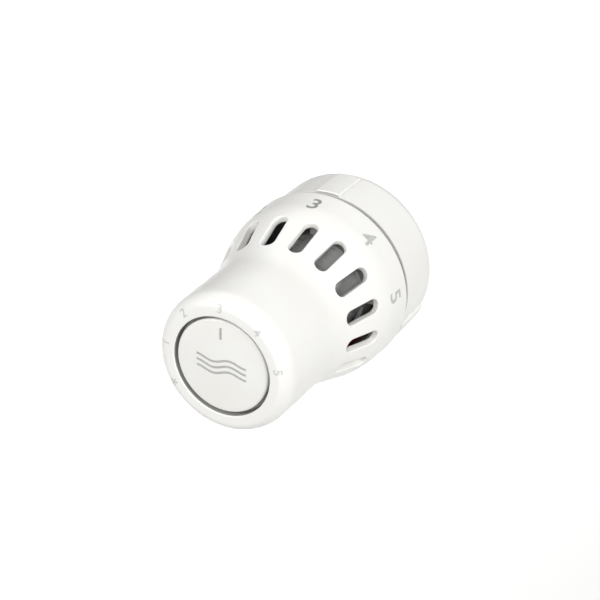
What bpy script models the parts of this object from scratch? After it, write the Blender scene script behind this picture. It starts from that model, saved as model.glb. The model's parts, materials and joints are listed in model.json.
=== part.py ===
"""Thermostatic head of a radiator valve: a turning handwheel round a fixed guide frame, with the
liquid-filled sensor, its carrier and its spindle inside, and a snap coupling at the back.

The head's axis is the world Y axis. The origin is the centre of the rear face that meets the valve,
the front cap faces -Y and the pointer on the base ring is at +Z. Every "depth" below is the distance
in front of that rear face, so a point at depth d has y = -d. Angles round the axis are in degrees,
clockwise as seen from the front, from 0 at +Z.
"""

import math

import bmesh
import bpy
from mathutils import Matrix, Vector

MM = 0.001

# Driving dimensions of the whole head
LENGTH = 71.0 * MM
RIM_RADIUS = 24.5 * MM
BASE_RADIUS = 23.6 * MM
RIM_DEPTH = 19.0 * MM
SEAM_GAP = 0.6 * MM
GAP = 0.3 * MM
MARGIN = 1.0 * MM  # how far a cutter reaches past what it cuts
WALL = 1.9 * MM
AXIS = Vector((0, 1, 0))

# Handwheel
BAND_RADIUS = 24.15 * MM
HANDLE_REAR_RADIUS = 18.5 * MM
HANDLE_FRONT_RADIUS = 18.3 * MM
FLARE_FRONT = 50.0 * MM
FLARE_REAR = 25.0 * MM
NOSE_DEPTH = 66.5 * MM
NOSE_FACE_RADIUS = 15.3 * MM
CAP_OPENING_RADIUS = 13.2 * MM
SHELF_RADIUS = 11.2 * MM
SHELF_FRONT = 68.0 * MM
SHELF_REAR = 66.5 * MM
SLOTS = 16
SLOT_LENGTH = 10.6 * MM
SLOT_WIDTH = 3.8 * MM
SLOT_DEPTH = RIM_DEPTH + 18.4 * MM

# Turning range, positive clockwise as seen from the front
TURN_MIN = -85.0
TURN_MAX = 125.0
STOP_TAB_HALF_ANGLE = 6.0
STOP_MARGIN = 1.0
STOP_REAR = 23.6 * MM
STOP_FRONT = 26.6 * MM

# Screw drive between handwheel and sensor carrier
LEAD = 8.0 * MM
TRACKS = 2
TRACK_WIDTH = 2.2 * MM
LUG_ANGLE = 45.0
LUG_HALF_ANGLE = 14.0
LUG_DEPTH = 50.0 * MM
LUG_RADIUS = 15.6 * MM
SLEEVE_INNER = 14.95 * MM
SLEEVE_OUTER = 15.9 * MM
SLEEVE_REAR = 43.5 * MM
SLEEVE_FRONT = 62.0 * MM

# Guide frame
TUBE_INNER = 18.9 * MM
TUBE_OUTER = 21.2 * MM
TUBE_FRONT = 23.0 * MM
BARS = 4
BAR_WIDTH = 3.2 * MM
BAR_INNER = 13.4 * MM
BAR_OUTER = 14.6 * MM
SKIRT_REAR = 17.2 * MM
SKIRT_FRONT = 24.0 * MM
ARM_REAR = 19.8 * MM
ARM_FRONT = 22.0 * MM
PLATE_REAR = 64.0 * MM
PLATE_FRONT = SHELF_REAR - 0.4 * MM
PLATE_HOLE = 10.1 * MM

# Base ring and its coupling
WEB = 3.0 * MM
PADS = 3
PAD_HALF_ANGLE = 7.8
BORE_RADIUS = 10.3 * MM
COLLAR_RADIUS = 12.9 * MM
COLLAR_FRONT = 16.5 * MM
JAWS = 4
JAW_ANGLE = 45.0
JAW_WIDTH = 5.4 * MM
JAW_REAR = 8.3 * MM
JAW_FRONT = 12.1 * MM
JAW_TIP_RADIUS = 9.7 * MM
JAW_BACK_RADIUS = 13.7 * MM
CLAMP_RADIUS = 14.7 * MM
CLAMP_WIRE = 0.6 * MM
PIN_ANGLES = (150.0, 250.0)
PIN_CIRCLE = 19.2 * MM
PIN_RADIUS = 0.8 * MM
PIN_HEAD_RADIUS = 1.4 * MM
PIN_HEAD = 1.1 * MM
PIN_FRONT = 25.5 * MM

# Sensor, carrier and spindle
CAN_RADIUS = 13.1 * MM
CAN_WALL = 0.8 * MM
CAN_REAR = 22.0 * MM
CAN_FRONT = 39.0 * MM
NECK_RADIUS = 4.5 * MM
STEM_RADIUS = 3.6 * MM
CARRIER_RADIUS = 12.8 * MM
CARRIER_WALL = 1.6 * MM
CARRIER_REAR = 41.8 * MM
CARRIER_FRONT = 58.0 * MM
SPRING_PLATE_REAR = CARRIER_REAR + CARRIER_WALL + GAP
SPRING_PLATE_FRONT = SPRING_PLATE_REAR + 1.4 * MM
CARRIER_CAP_REAR = 56.3 * MM
SPINDLE_RADIUS = 2.2 * MM
FOOT_REAR = 12.8 * MM
FOOT_FRONT = 15.6 * MM
BELLOWS_REAR = 24.0 * MM
BELLOWS_FRONT = 34.4 * MM
GROOVE_FRONT = SPRING_PLATE_FRONT + 1.3 * MM
STEM_FRONT = GROOVE_FRONT + 0.8 * MM

ROUND = 48
MEDIUM = 36
SMALL = 18


def clear_scene():
    for obj in list(bpy.data.objects):
        bpy.data.objects.remove(obj, do_unlink=True)


def make_material(name, colour, roughness, metallic=0.0):
    made = bpy.data.materials.new(name)
    made.use_nodes = True
    shader = made.node_tree.nodes["Principled BSDF"]
    shader.inputs["Base Color"].default_value = (*colour, 1.0)
    shader.inputs["Roughness"].default_value = roughness
    shader.inputs["Metallic"].default_value = metallic
    return made


def at(radius, depth, angle=0.0):
    """The point at this radius, depth and angle round the head's axis."""
    turn = math.radians(angle)
    return Vector((radius * math.sin(turn), -depth, radius * math.cos(turn)))


def turned_by(angle):
    return Matrix.Rotation(math.radians(angle), 4, AXIS)


def finish_mesh(name, mesh_data, material, helper=False):
    """Turns a bmesh into an object. A helper is a cutter or an operand that isn't a piece itself."""
    bmesh.ops.recalc_face_normals(mesh_data, faces=mesh_data.faces)
    mesh = bpy.data.meshes.new(name)
    mesh_data.to_mesh(mesh)
    mesh_data.free()
    mesh.shade_smooth()
    mesh.set_sharp_from_angle(angle=math.radians(35))
    obj = bpy.data.objects.new(name, mesh)
    bpy.context.collection.objects.link(obj)
    if helper:
        obj.hide_render = True
        obj.display_type = "WIRE"
    else:
        mesh.materials.append(material)
    return obj


def sweep(outline, stations):
    """A bmesh through copies of a closed (radius, depth) outline, one at each (angle, depth shift) station.
    The sweep closes on itself when its stations make a full turn, and has flat ends otherwise."""
    made = bmesh.new()
    rows = [
        [made.verts.new(at(radius, depth + shift, angle)) for radius, depth in outline]
        for angle, shift in stations
    ]
    whole_turn = abs(stations[-1][0] - stations[0][0]) > 359.0
    if whole_turn:
        for vert in rows.pop():
            made.verts.remove(vert)
    count = len(outline)
    for index in range(len(rows) - (0 if whole_turn else 1)):
        here = rows[index]
        there = rows[(index + 1) % len(rows)]
        for k in range(count):
            following = (k + 1) % count
            made.faces.new((here[k], here[following], there[following], there[k]))
    if not whole_turn:
        made.faces.new(rows[0])
        made.faces.new(reversed(rows[-1]))
    bmesh.ops.remove_doubles(made, verts=made.verts, dist=0.001 * MM)
    bmesh.ops.dissolve_degenerate(made, edges=made.edges, dist=0.001 * MM)
    return made


def turned(outline, steps=ROUND):
    """A full turn of a closed (radius, depth) outline round the head's axis."""
    return sweep(outline, [(360.0 * k / steps, 0.0) for k in range(steps + 1)])


def sector(outline, start, end, steps=8, lead=0.0):
    """Part of a turn, rising by lead for each full turn."""
    span = end - start
    middle = (start + end) / 2
    stations = []
    for k in range(steps + 1):
        angle = start + span * k / steps
        stations.append((angle, lead * (angle - middle) / 360.0))
    return sweep(outline, stations)


def box_outline(inner, outer, rear, front):
    return [(inner, rear), (outer, rear), (outer, front), (inner, front)]


def prism(points, thickness):
    """A (radius, depth) outline at angle 0, made into a flat plate of that thickness across the axis."""
    made = bmesh.new()
    sides = [
        [made.verts.new(at(radius, depth) + Vector((x, 0, 0))) for radius, depth in points]
        for x in (-thickness / 2, thickness / 2)
    ]
    made.faces.new(sides[0])
    made.faces.new(reversed(sides[1]))
    for k in range(len(points)):
        following = (k + 1) % len(points)
        made.faces.new((sides[0][k], sides[1][k], sides[1][following], sides[0][following]))
    return made


def stadium(length, width, arc_steps=4):
    """Points round a slot with half-round ends, as (across, along)."""
    points = []
    for end in (1, -1):
        for k in range(arc_steps + 1):
            turn = math.pi * k / arc_steps
            across = end * width / 2 * math.cos(turn)
            along = end * ((length - width) / 2 + width / 2 * math.sin(turn))
            points.append((across, along))
    return points


def radial_prism(points, depth, inner, outer):
    """A (across, along the axis) outline at angle 0, extruded outwards from inner to outer radius."""
    made = bmesh.new()
    ends = [
        [made.verts.new((across, -depth - along, radius)) for across, along in points]
        for radius in (inner, outer)
    ]
    made.faces.new(ends[0])
    made.faces.new(reversed(ends[1]))
    for k in range(len(points)):
        following = (k + 1) % len(points)
        made.faces.new((ends[0][k], ends[1][k], ends[1][following], ends[0][following]))
    return made


def axial_rod(radius, circle, rear, front, steps=16):
    """A round rod parallel to the axis, at that radius from it and at angle 0."""
    made = bmesh.new()
    bmesh.ops.create_cone(
        made,
        cap_ends=True,
        segments=steps,
        radius1=radius,
        radius2=radius,
        depth=front - rear,
        matrix=Matrix.Translation((0, -(rear + front) / 2, circle)) @ Matrix.Rotation(math.pi / 2, 4, "X"),
    )
    return made


def repeated(made, angles):
    """Copies of a bmesh at each of these angles, in one bmesh."""
    mesh = bpy.data.meshes.new("repeated")
    made.to_mesh(mesh)
    made.free()
    result = bmesh.new()
    for angle in angles:
        copy = bmesh.new()
        copy.from_mesh(mesh)
        copy.transform(turned_by(angle))
        turned_mesh = bpy.data.meshes.new("turned")
        copy.to_mesh(turned_mesh)
        copy.free()
        result.from_mesh(turned_mesh)
        bpy.data.meshes.remove(turned_mesh)
    bpy.data.meshes.remove(mesh)
    return result


def every(count, first=0.0):
    return [first + 360.0 * k / count for k in range(count)]


def combine(target, operand_mesh, operation):
    """Cuts or joins a bmesh to the target with a Boolean, and keeps the operand as a hidden helper."""
    index = len(target.modifiers)
    helper = finish_mesh(f"{target.name}_helper_{index}", operand_mesh, None, helper=True)
    helper.parent = target
    helper.matrix_parent_inverse = target.matrix_world.inverted()
    modifier = target.modifiers.new(f"{operation.lower()}_{index}", "BOOLEAN")
    modifier.operation = operation
    modifier.solver = "EXACT"
    modifier.object = helper


def cut(target, operand_mesh):
    combine(target, operand_mesh, "DIFFERENCE")


def join(target, operand_mesh):
    combine(target, operand_mesh, "UNION")


def smoothstep(value):
    held = min(max(value, 0.0), 1.0)
    return held * held * (3.0 - 2.0 * held)


def wheel_radius(depth):
    """Outer radius of the handwheel behind its rounded nose: the number band, the flare and the handle."""
    if depth <= FLARE_REAR:
        return BAND_RADIUS + (RIM_RADIUS - BAND_RADIUS) * (FLARE_REAR - depth) / (FLARE_REAR - RIM_DEPTH)
    if depth <= FLARE_FRONT:
        rise = smoothstep((FLARE_FRONT - depth) / (FLARE_FRONT - FLARE_REAR))
        return HANDLE_REAR_RADIUS + (BAND_RADIUS - HANDLE_REAR_RADIUS) * rise
    along = (depth - FLARE_FRONT) / (NOSE_DEPTH - FLARE_FRONT)
    return HANDLE_REAR_RADIUS + (HANDLE_FRONT_RADIUS - HANDLE_REAR_RADIUS) * along


def depths_along_wheel(rear, front, count):
    return [rear + (front - rear) * k / count for k in range(count + 1)]


def wheel_outline():
    rim_edge = 0.3 * MM
    inner_front = 64.4 * MM
    outline = [(RIM_RADIUS - rim_edge, RIM_DEPTH)]
    outline += [(wheel_radius(d), d) for d in depths_along_wheel(RIM_DEPTH + rim_edge, NOSE_DEPTH, 11)]
    for k in range(1, 6):
        turn = math.pi / 2 * k / 5
        radius = NOSE_FACE_RADIUS + (HANDLE_FRONT_RADIUS - NOSE_FACE_RADIUS) * math.cos(turn)
        outline.append((radius, NOSE_DEPTH + (LENGTH - NOSE_DEPTH) * math.sin(turn)))
    outline += [
        (CAP_OPENING_RADIUS, LENGTH),
        (CAP_OPENING_RADIUS, SHELF_FRONT),
        (SHELF_RADIUS, SHELF_FRONT),
        (SHELF_RADIUS, SHELF_REAR),
        (SLEEVE_INNER, SHELF_REAR),
    ]
    outline += [(wheel_radius(d) - WALL, d) for d in depths_along_wheel(inner_front, RIM_DEPTH, 8)]
    return outline


def make_handwheel(material):
    wheel = finish_mesh("handwheel", turned(wheel_outline()), material)
    slot = radial_prism(stadium(SLOT_LENGTH, SLOT_WIDTH), SLOT_DEPTH, SLEEVE_OUTER, RIM_RADIUS + MARGIN)
    cut(wheel, repeated(slot, every(SLOTS, 180.0 / SLOTS)))
    tab = box_outline(TUBE_INNER, RIM_RADIUS - WALL / 2, STOP_REAR, STOP_FRONT)
    join(wheel, sector(tab, -STOP_TAB_HALF_ANGLE, STOP_TAB_HALF_ANGLE, steps=2))


def make_drive_sleeve(material):
    """The threaded sleeve inside the handle. Its helical tracks lead the carrier's lugs."""
    sleeve_outline = box_outline(SLEEVE_INNER, SLEEVE_OUTER, SLEEVE_REAR, SLEEVE_FRONT)
    sleeve = finish_mesh("drive_sleeve", turned(sleeve_outline), material)
    half_play = 1.5
    start = LUG_ANGLE - TURN_MAX - LUG_HALF_ANGLE - half_play
    end = LUG_ANGLE - TURN_MIN + LUG_HALF_ANGLE + half_play
    middle_depth = LUG_DEPTH + LEAD * ((start + end) / 2 - LUG_ANGLE) / 360.0
    track = box_outline(
        SLEEVE_INNER - MARGIN,
        SLEEVE_OUTER + MARGIN,
        middle_depth - TRACK_WIDTH / 2,
        middle_depth + TRACK_WIDTH / 2,
    )
    cut(sleeve, repeated(sector(track, start, end, steps=22, lead=LEAD), every(TRACKS)))


def make_front_cap(material):
    """The fixed cap with its index mark's place at the top, clipped into the guide frame by a split hub."""
    radius = 12.4 * MM
    rear = SHELF_FRONT + 0.4 * MM
    edge = 70.5 * MM
    dome = 0.4 * MM
    hub_inner = 8.2 * MM
    hub_outer = PLATE_HOLE - GAP
    barb_radius = PLATE_HOLE + 0.5 * MM
    barb_front = PLATE_REAR - GAP
    barb_rear = barb_front - 1.2 * MM
    outline = [
        (0.0, edge + dome),
        (radius * 0.35, edge + dome * 0.88),
        (radius * 0.7, edge + dome * 0.51),
        (radius - 0.4 * MM, edge),
        (radius, edge - 0.4 * MM),
        (radius, rear),
        (hub_outer, rear),
        (hub_outer, barb_front),
        (barb_radius, barb_front),
        (hub_outer, barb_rear),
        (hub_inner, barb_rear),
        (hub_inner, rear),
        (0.0, rear),
    ]
    cap = finish_mesh("front_cap", turned(outline, MEDIUM), material)
    split_width = 1.6 * MM
    split_outline = box_outline(hub_inner - MARGIN, barb_radius + MARGIN, barb_rear - MARGIN, rear - GAP)
    cut(cap, repeated(prism(split_outline, split_width), every(BARS, 180.0 / BARS)))


def make_guide_frame(material):
    """A rear tube on the base, four bars past the sensor, a skirt behind it, and the cap's plate."""
    ledge_inner = 17.4 * MM
    ledge_rear = 5.6 * MM
    ledge_front = 7.0 * MM
    tube_outline = [
        (TUBE_INNER, WEB + GAP),
        (TUBE_OUTER, WEB + GAP),
        (TUBE_OUTER, TUBE_FRONT),
        (TUBE_INNER, TUBE_FRONT),
        (TUBE_INNER, ledge_front),
        (ledge_inner, ledge_front),
        (ledge_inner, ledge_rear),
        (TUBE_INNER, ledge_rear),
    ]
    frame = finish_mesh("guide_frame", turned(tube_outline), material)
    stop_start = TURN_MAX + STOP_TAB_HALF_ANGLE + STOP_MARGIN
    stop_end = 360.0 + TURN_MIN - STOP_TAB_HALF_ANGLE - STOP_MARGIN
    inset = 0.1 * MM
    stop_outline = box_outline(TUBE_INNER + inset, TUBE_OUTER - inset, TUBE_FRONT - MARGIN, STOP_FRONT)
    join(frame, sector(stop_outline, stop_start, stop_end, steps=24))
    bar_outline = [
        (BAR_INNER, ARM_REAR),
        (TUBE_INNER + 1.0 * MM, ARM_REAR),
        (TUBE_INNER + 1.0 * MM, ARM_FRONT),
        (BAR_OUTER, ARM_FRONT + 1.2 * MM),
        (BAR_OUTER, PLATE_REAR + 1.0 * MM),
        (BAR_INNER, PLATE_REAR + 1.0 * MM),
    ]
    join(frame, repeated(prism(bar_outline, BAR_WIDTH), every(BARS)))
    join(frame, turned(box_outline(BAR_INNER + inset, BAR_OUTER, SKIRT_REAR, SKIRT_FRONT), MEDIUM))
    spigot_radius = SHELF_RADIUS - GAP
    plate_outline = [
        (PLATE_HOLE, PLATE_REAR),
        (BAR_OUTER + 0.2 * MM, PLATE_REAR),
        (BAR_OUTER + 0.2 * MM, PLATE_FRONT),
        (spigot_radius, PLATE_FRONT),
        (spigot_radius, SHELF_FRONT - 0.2 * MM),
        (PLATE_HOLE, SHELF_FRONT - 0.2 * MM),
    ]
    join(frame, turned(plate_outline, MEDIUM))
    channel = axial_rod(PIN_RADIUS + GAP, PIN_CIRCLE, WEB - MARGIN, STOP_FRONT + MARGIN)
    cut(frame, repeated(channel, PIN_ANGLES))


def make_base_ring(material):
    """The outer ring behind the handwheel, with its pointer pads and the ribbed web that faces the valve."""
    neck_radius = 22.3 * MM
    front = RIM_DEPTH - SEAM_GAP
    groove_rear = front - 1.6 * MM
    edge = 0.4 * MM
    inner_radius = TUBE_OUTER + GAP
    rear_rounding = 4.0 * MM
    rear_face_radius = 20.2 * MM
    web_hole = COLLAR_RADIUS + GAP
    outline = [
        (inner_radius, front),
        (neck_radius, front),
        (neck_radius, groove_rear),
        (BASE_RADIUS - edge, groove_rear),
        (BASE_RADIUS, groove_rear - edge),
    ]
    for k in range(7):
        turn = math.pi / 2 * k / 6
        radius = rear_face_radius + (BASE_RADIUS - rear_face_radius) * math.cos(turn)
        outline.append((radius, rear_rounding * (1.0 - math.sin(turn))))
    outline += [(web_hole, 0.0), (web_hole, WEB), (inner_radius, WEB)]
    ring = finish_mesh("base_ring", turned(outline), material)
    pad_inner = inner_radius + 0.6 * MM
    pad_outer = BASE_RADIUS + 0.6 * MM
    pad_front = groove_rear - 0.1 * MM
    pad_outline = [
        (pad_inner, rear_rounding),
        (pad_outer - edge, rear_rounding),
        (pad_outer, rear_rounding + edge),
        (pad_outer, pad_front - edge),
        (pad_outer - edge, pad_front),
        (pad_inner, pad_front),
    ]
    join(ring, repeated(sector(pad_outline, -PAD_HALF_ANGLE, PAD_HALF_ANGLE, steps=4), every(PADS)))
    pocket_half_angle = 11.5
    pocket_depth = 1.8 * MM
    pocket = box_outline(web_hole + 1.4 * MM, 17.2 * MM, -MARGIN, pocket_depth)
    cut(ring, repeated(sector(pocket, -pocket_half_angle, pocket_half_angle, steps=3), every(12)))
    head_seat = axial_rod(PIN_HEAD_RADIUS + GAP, PIN_CIRCLE, -MARGIN, PIN_HEAD + GAP)
    cut(ring, repeated(head_seat, PIN_ANGLES))
    pin_hole = axial_rod(PIN_RADIUS + GAP, PIN_CIRCLE, PIN_HEAD / 2, WEB + MARGIN)
    cut(ring, repeated(pin_hole, PIN_ANGLES))


def make_coupling_collar(material):
    """The sleeve that slips over the valve's neck. Four windows let the snap jaws through."""
    flange_radius = 18.4 * MM
    flange_rear = WEB + GAP
    flange_front = flange_rear + 2.0 * MM
    lead_in = 0.9 * MM
    outline = [
        (BORE_RADIUS + lead_in, 0.0),
        (COLLAR_RADIUS, 0.0),
        (COLLAR_RADIUS, flange_rear),
        (flange_radius, flange_rear),
        (flange_radius, flange_front),
        (COLLAR_RADIUS, flange_front),
        (COLLAR_RADIUS, COLLAR_FRONT),
        (BORE_RADIUS, COLLAR_FRONT),
        (BORE_RADIUS, lead_in),
    ]
    collar = finish_mesh("coupling_collar", turned(outline, MEDIUM), material)
    half_height = (JAW_FRONT - JAW_REAR) / 2 + GAP
    half_width = JAW_WIDTH / 2 + GAP
    corners = [
        (-half_width, -half_height),
        (half_width, -half_height),
        (half_width, half_height),
        (-half_width, half_height),
    ]
    window_depth = (JAW_FRONT + JAW_REAR) / 2
    window = radial_prism(corners, window_depth, BORE_RADIUS - 3 * MARGIN, COLLAR_RADIUS + 2 * MARGIN)
    cut(collar, repeated(window, every(JAWS, JAW_ANGLE)))
    pin_clearance = axial_rod(PIN_RADIUS + 2 * GAP, PIN_CIRCLE, flange_rear - MARGIN, flange_front + MARGIN)
    cut(collar, repeated(pin_clearance, PIN_ANGLES))


def make_snap_jaws(material):
    """Jaw 1 to 4, each with a sloped tooth inside the bore. A jaw's origin is on its slide's line."""
    middle = (JAW_REAR + JAW_FRONT) / 2
    outline = [
        (JAW_TIP_RADIUS + 1.3 * MM, JAW_REAR),
        (JAW_BACK_RADIUS, JAW_REAR),
        (JAW_BACK_RADIUS, JAW_FRONT),
        (JAW_TIP_RADIUS, JAW_FRONT),
        (JAW_TIP_RADIUS, middle),
    ]
    for index, angle in enumerate(every(JAWS, JAW_ANGLE)):
        shape = prism(outline, JAW_WIDTH)
        shape.transform(turned_by(angle))
        origin = at(JAW_BACK_RADIUS, middle, angle)
        shape.transform(Matrix.Translation(-origin))
        jaw = finish_mesh(f"snap_jaw_{index + 1}", shape, material)
        jaw.location = origin


def make_wire(name, points, wire_radius, material):
    curve = bpy.data.curves.new(name, "CURVE")
    curve.dimensions = "3D"
    curve.bevel_depth = wire_radius
    curve.bevel_resolution = 1
    curve.use_fill_caps = True
    spline = curve.splines.new("POLY")
    spline.points.add(len(points) - 1)
    for spot, place in zip(spline.points, points):
        spot.co = (*place, 1.0)
    curve.materials.append(material)
    bpy.context.collection.objects.link(bpy.data.objects.new(name, curve))


def make_clamp_spring(material):
    """An open wire ring round the backs of the jaws."""
    opening = 24.0
    steps = 44
    middle = (JAW_REAR + JAW_FRONT) / 2
    first = 180.0 + opening / 2
    points = [
        at(CLAMP_RADIUS, middle, first + (360.0 - opening) * k / steps)
        for k in range(steps + 1)
    ]
    make_wire("clamp_spring", points, CLAMP_WIRE, material)


def make_limit_pins(material):
    """Two pins that a user moves to limit the turning range, each with its origin on its own axis."""
    for index, angle in enumerate(PIN_ANGLES):
        shank = axial_rod(PIN_RADIUS, 0.0, PIN_HEAD / 2, PIN_FRONT, steps=12)
        pin = finish_mesh(f"limit_pin_{index + 1}", shank, material)
        join(pin, axial_rod(PIN_HEAD_RADIUS, 0.0, 0.0, PIN_HEAD, steps=16))
        pin.location = at(PIN_CIRCLE, 0.0, angle)


def make_sensor_can(material):
    """The can that holds the sensing liquid, open at the back, with the stem that the carrier holds."""
    corner = 1.2 * MM
    neck_front = SPRING_PLATE_REAR - GAP
    groove_radius = STEM_RADIUS - 0.6 * MM
    inner_front = CAN_FRONT - CAN_WALL
    outline = [
        (CAN_RADIUS - CAN_WALL, CAN_REAR),
        (CAN_RADIUS, CAN_REAR),
        (CAN_RADIUS, CAN_FRONT - corner),
        (CAN_RADIUS - corner * 0.3, CAN_FRONT - corner * 0.3),
        (CAN_RADIUS - corner, CAN_FRONT),
        (NECK_RADIUS, CAN_FRONT),
        (NECK_RADIUS, neck_front),
        (STEM_RADIUS, neck_front),
        (STEM_RADIUS, SPRING_PLATE_FRONT),
        (groove_radius, SPRING_PLATE_FRONT),
        (groove_radius, GROOVE_FRONT),
        (STEM_RADIUS, GROOVE_FRONT),
        (STEM_RADIUS, STEM_FRONT),
        (0.0, STEM_FRONT),
        (0.0, inner_front),
        (CAN_RADIUS - CAN_WALL, inner_front),
    ]
    finish_mesh("sensor_can", turned(outline, MEDIUM), material)


def make_fill_stub(material):
    """The pinched end of the tube through which the sensor is filled."""
    radius = 1.3 * MM
    rear = STEM_FRONT + GAP
    outline = [
        (0.0, rear),
        (radius, rear),
        (radius, rear + 1.9 * MM),
        (radius * 0.45, rear + 2.9 * MM),
        (0.0, rear + 3.1 * MM),
    ]
    finish_mesh("fill_stub", turned(outline, 16), material)


def make_sensor_end_plate(material):
    """Closes the can at the back. Its hub guides the spindle."""
    radius = CAN_RADIUS - CAN_WALL - GAP
    rear = CAN_REAR + 0.2 * MM
    front = BELLOWS_REAR - GAP
    hub_radius = 4.4 * MM
    hub_rear = rear - 3.4 * MM
    hole = SPINDLE_RADIUS + GAP
    outline = [
        (hole, hub_rear),
        (hub_radius, hub_rear),
        (hub_radius, rear),
        (radius, rear),
        (radius, front),
        (hole, front),
    ]
    finish_mesh("sensor_end_plate", turned(outline, MEDIUM), material)


def make_bellows(material):
    """A thin corrugated tube, here with its wall thickened to a solid that can be made."""
    folds = 5
    crest = 9.6 * MM
    root = 7.2 * MM
    wall = 0.5 * MM
    wave = []
    for k in range(2 * folds + 1):
        depth = BELLOWS_REAR + (BELLOWS_FRONT - BELLOWS_REAR) * k / (2 * folds)
        wave.append((root if k % 2 == 0 else crest, depth))
    outline = wave + [(radius - wall, depth) for radius, depth in reversed(wave)]
    finish_mesh("bellows", turned(outline, 32), material)


def make_bellows_cap(material):
    rear = BELLOWS_FRONT + GAP
    front = rear + 1.2 * MM
    outline = [(0.0, rear), (7.0 * MM, rear), (7.6 * MM, rear + 0.4 * MM), (7.0 * MM, front), (0.0, front)]
    finish_mesh("bellows_cap", turned(outline, 32), material)


def make_spindle(material):
    """Pushed back by the bellows cap, it carries the pressure foot that meets the valve's pin."""
    shoulder_rear = BELLOWS_FRONT - 2.4 * MM
    outline = [
        (0.0, FOOT_REAR + 1.6 * MM),
        (SPINDLE_RADIUS - 0.5 * MM, FOOT_REAR + 1.6 * MM),
        (SPINDLE_RADIUS - 0.5 * MM, FOOT_FRONT + GAP),
        (SPINDLE_RADIUS, FOOT_FRONT + GAP),
        (SPINDLE_RADIUS, shoulder_rear),
        (5.0 * MM, shoulder_rear + 0.6 * MM),
        (5.0 * MM, BELLOWS_FRONT),
        (0.0, BELLOWS_FRONT),
    ]
    finish_mesh("spindle", turned(outline, SMALL), material)


def make_pressure_foot(material):
    radius = 6.0 * MM
    socket = SPINDLE_RADIUS - 0.5 * MM + GAP
    outline = [
        (0.0, FOOT_REAR),
        (radius - 0.8 * MM, FOOT_REAR),
        (radius, FOOT_REAR + 0.8 * MM),
        (radius, FOOT_FRONT - 0.8 * MM),
        (radius - 1.6 * MM, FOOT_FRONT),
        (socket, FOOT_FRONT),
        (socket, FOOT_REAR + 1.3 * MM),
        (0.0, FOOT_REAR + 1.3 * MM),
    ]
    finish_mesh("pressure_foot", turned(outline, 32), material)


def make_sensor_carrier(material):
    """The cup that holds the sensor. Two shoes run between the frame's bars, each with a lug in a track."""
    inner = CARRIER_RADIUS - CARRIER_WALL
    web_front = CARRIER_REAR + CARRIER_WALL
    outline = [
        (NECK_RADIUS + GAP, CARRIER_REAR),
        (CARRIER_RADIUS, CARRIER_REAR),
        (CARRIER_RADIUS, CARRIER_FRONT),
        (inner, CARRIER_FRONT),
        (inner, web_front),
        (NECK_RADIUS + GAP, web_front),
    ]
    carrier = finish_mesh("sensor_carrier", turned(outline, MEDIUM), material)
    shoe_half_angle = 34.0
    shoe_half_length = 4.0 * MM
    overlap = 0.6 * MM
    shoe_outer = BAR_OUTER - 0.1 * MM
    shoe_rear = LUG_DEPTH - shoe_half_length
    shoe_front = LUG_DEPTH + shoe_half_length
    shoe = box_outline(CARRIER_RADIUS - overlap, shoe_outer, shoe_rear, shoe_front)
    start = LUG_ANGLE - shoe_half_angle
    end = LUG_ANGLE + shoe_half_angle
    join(carrier, repeated(sector(shoe, start, end, steps=8), every(TRACKS)))
    half_width = TRACK_WIDTH / 2 - GAP
    lug = box_outline(shoe_outer - overlap, LUG_RADIUS, LUG_DEPTH - half_width, LUG_DEPTH + half_width)
    lugs = sector(lug, LUG_ANGLE - LUG_HALF_ANGLE, LUG_ANGLE + LUG_HALF_ANGLE, steps=6, lead=LEAD)
    join(carrier, repeated(lugs, every(TRACKS)))


def make_carrier_cap(material):
    """The front seat of the over-travel spring, pressed into the carrier."""
    radius = CARRIER_RADIUS - CARRIER_WALL - GAP
    outline = box_outline(3.4 * MM, radius, CARRIER_CAP_REAR, CARRIER_FRONT - 0.2 * MM)
    finish_mesh("carrier_cap", turned(outline, MEDIUM), material)


def make_spring_plate(material):
    outline = box_outline(STEM_RADIUS + GAP, 10.6 * MM, SPRING_PLATE_REAR, SPRING_PLATE_FRONT - GAP)
    finish_mesh("spring_plate", turned(outline, 32), material)


def make_stem_clip(material):
    """An open ring in the stem's groove that keeps the sensor on the spring plate."""
    rear = SPRING_PLATE_FRONT + GAP
    thickness = 0.7 * MM
    opening = 60.0
    outline = box_outline(STEM_RADIUS - GAP, STEM_RADIUS + 1.8 * MM, rear, rear + thickness)
    finish_mesh("stem_clip", sector(outline, opening / 2, 360.0 - opening / 2, steps=20), material)


def make_overtravel_spring(material):
    """Gives way when the valve is already shut and the sensor still expands."""
    turns = 4.5
    steps_each = 16
    mean_radius = 8.4 * MM
    wire = 0.7 * MM
    rear = SPRING_PLATE_FRONT + wire
    front = CARRIER_CAP_REAR - GAP - wire
    steps = int(turns * steps_each)
    points = [
        at(mean_radius, rear + (front - rear) * k / steps, 360.0 * turns * k / steps)
        for k in range(steps + 1)
    ]
    make_wire("overtravel_spring", points, wire, material)


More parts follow.
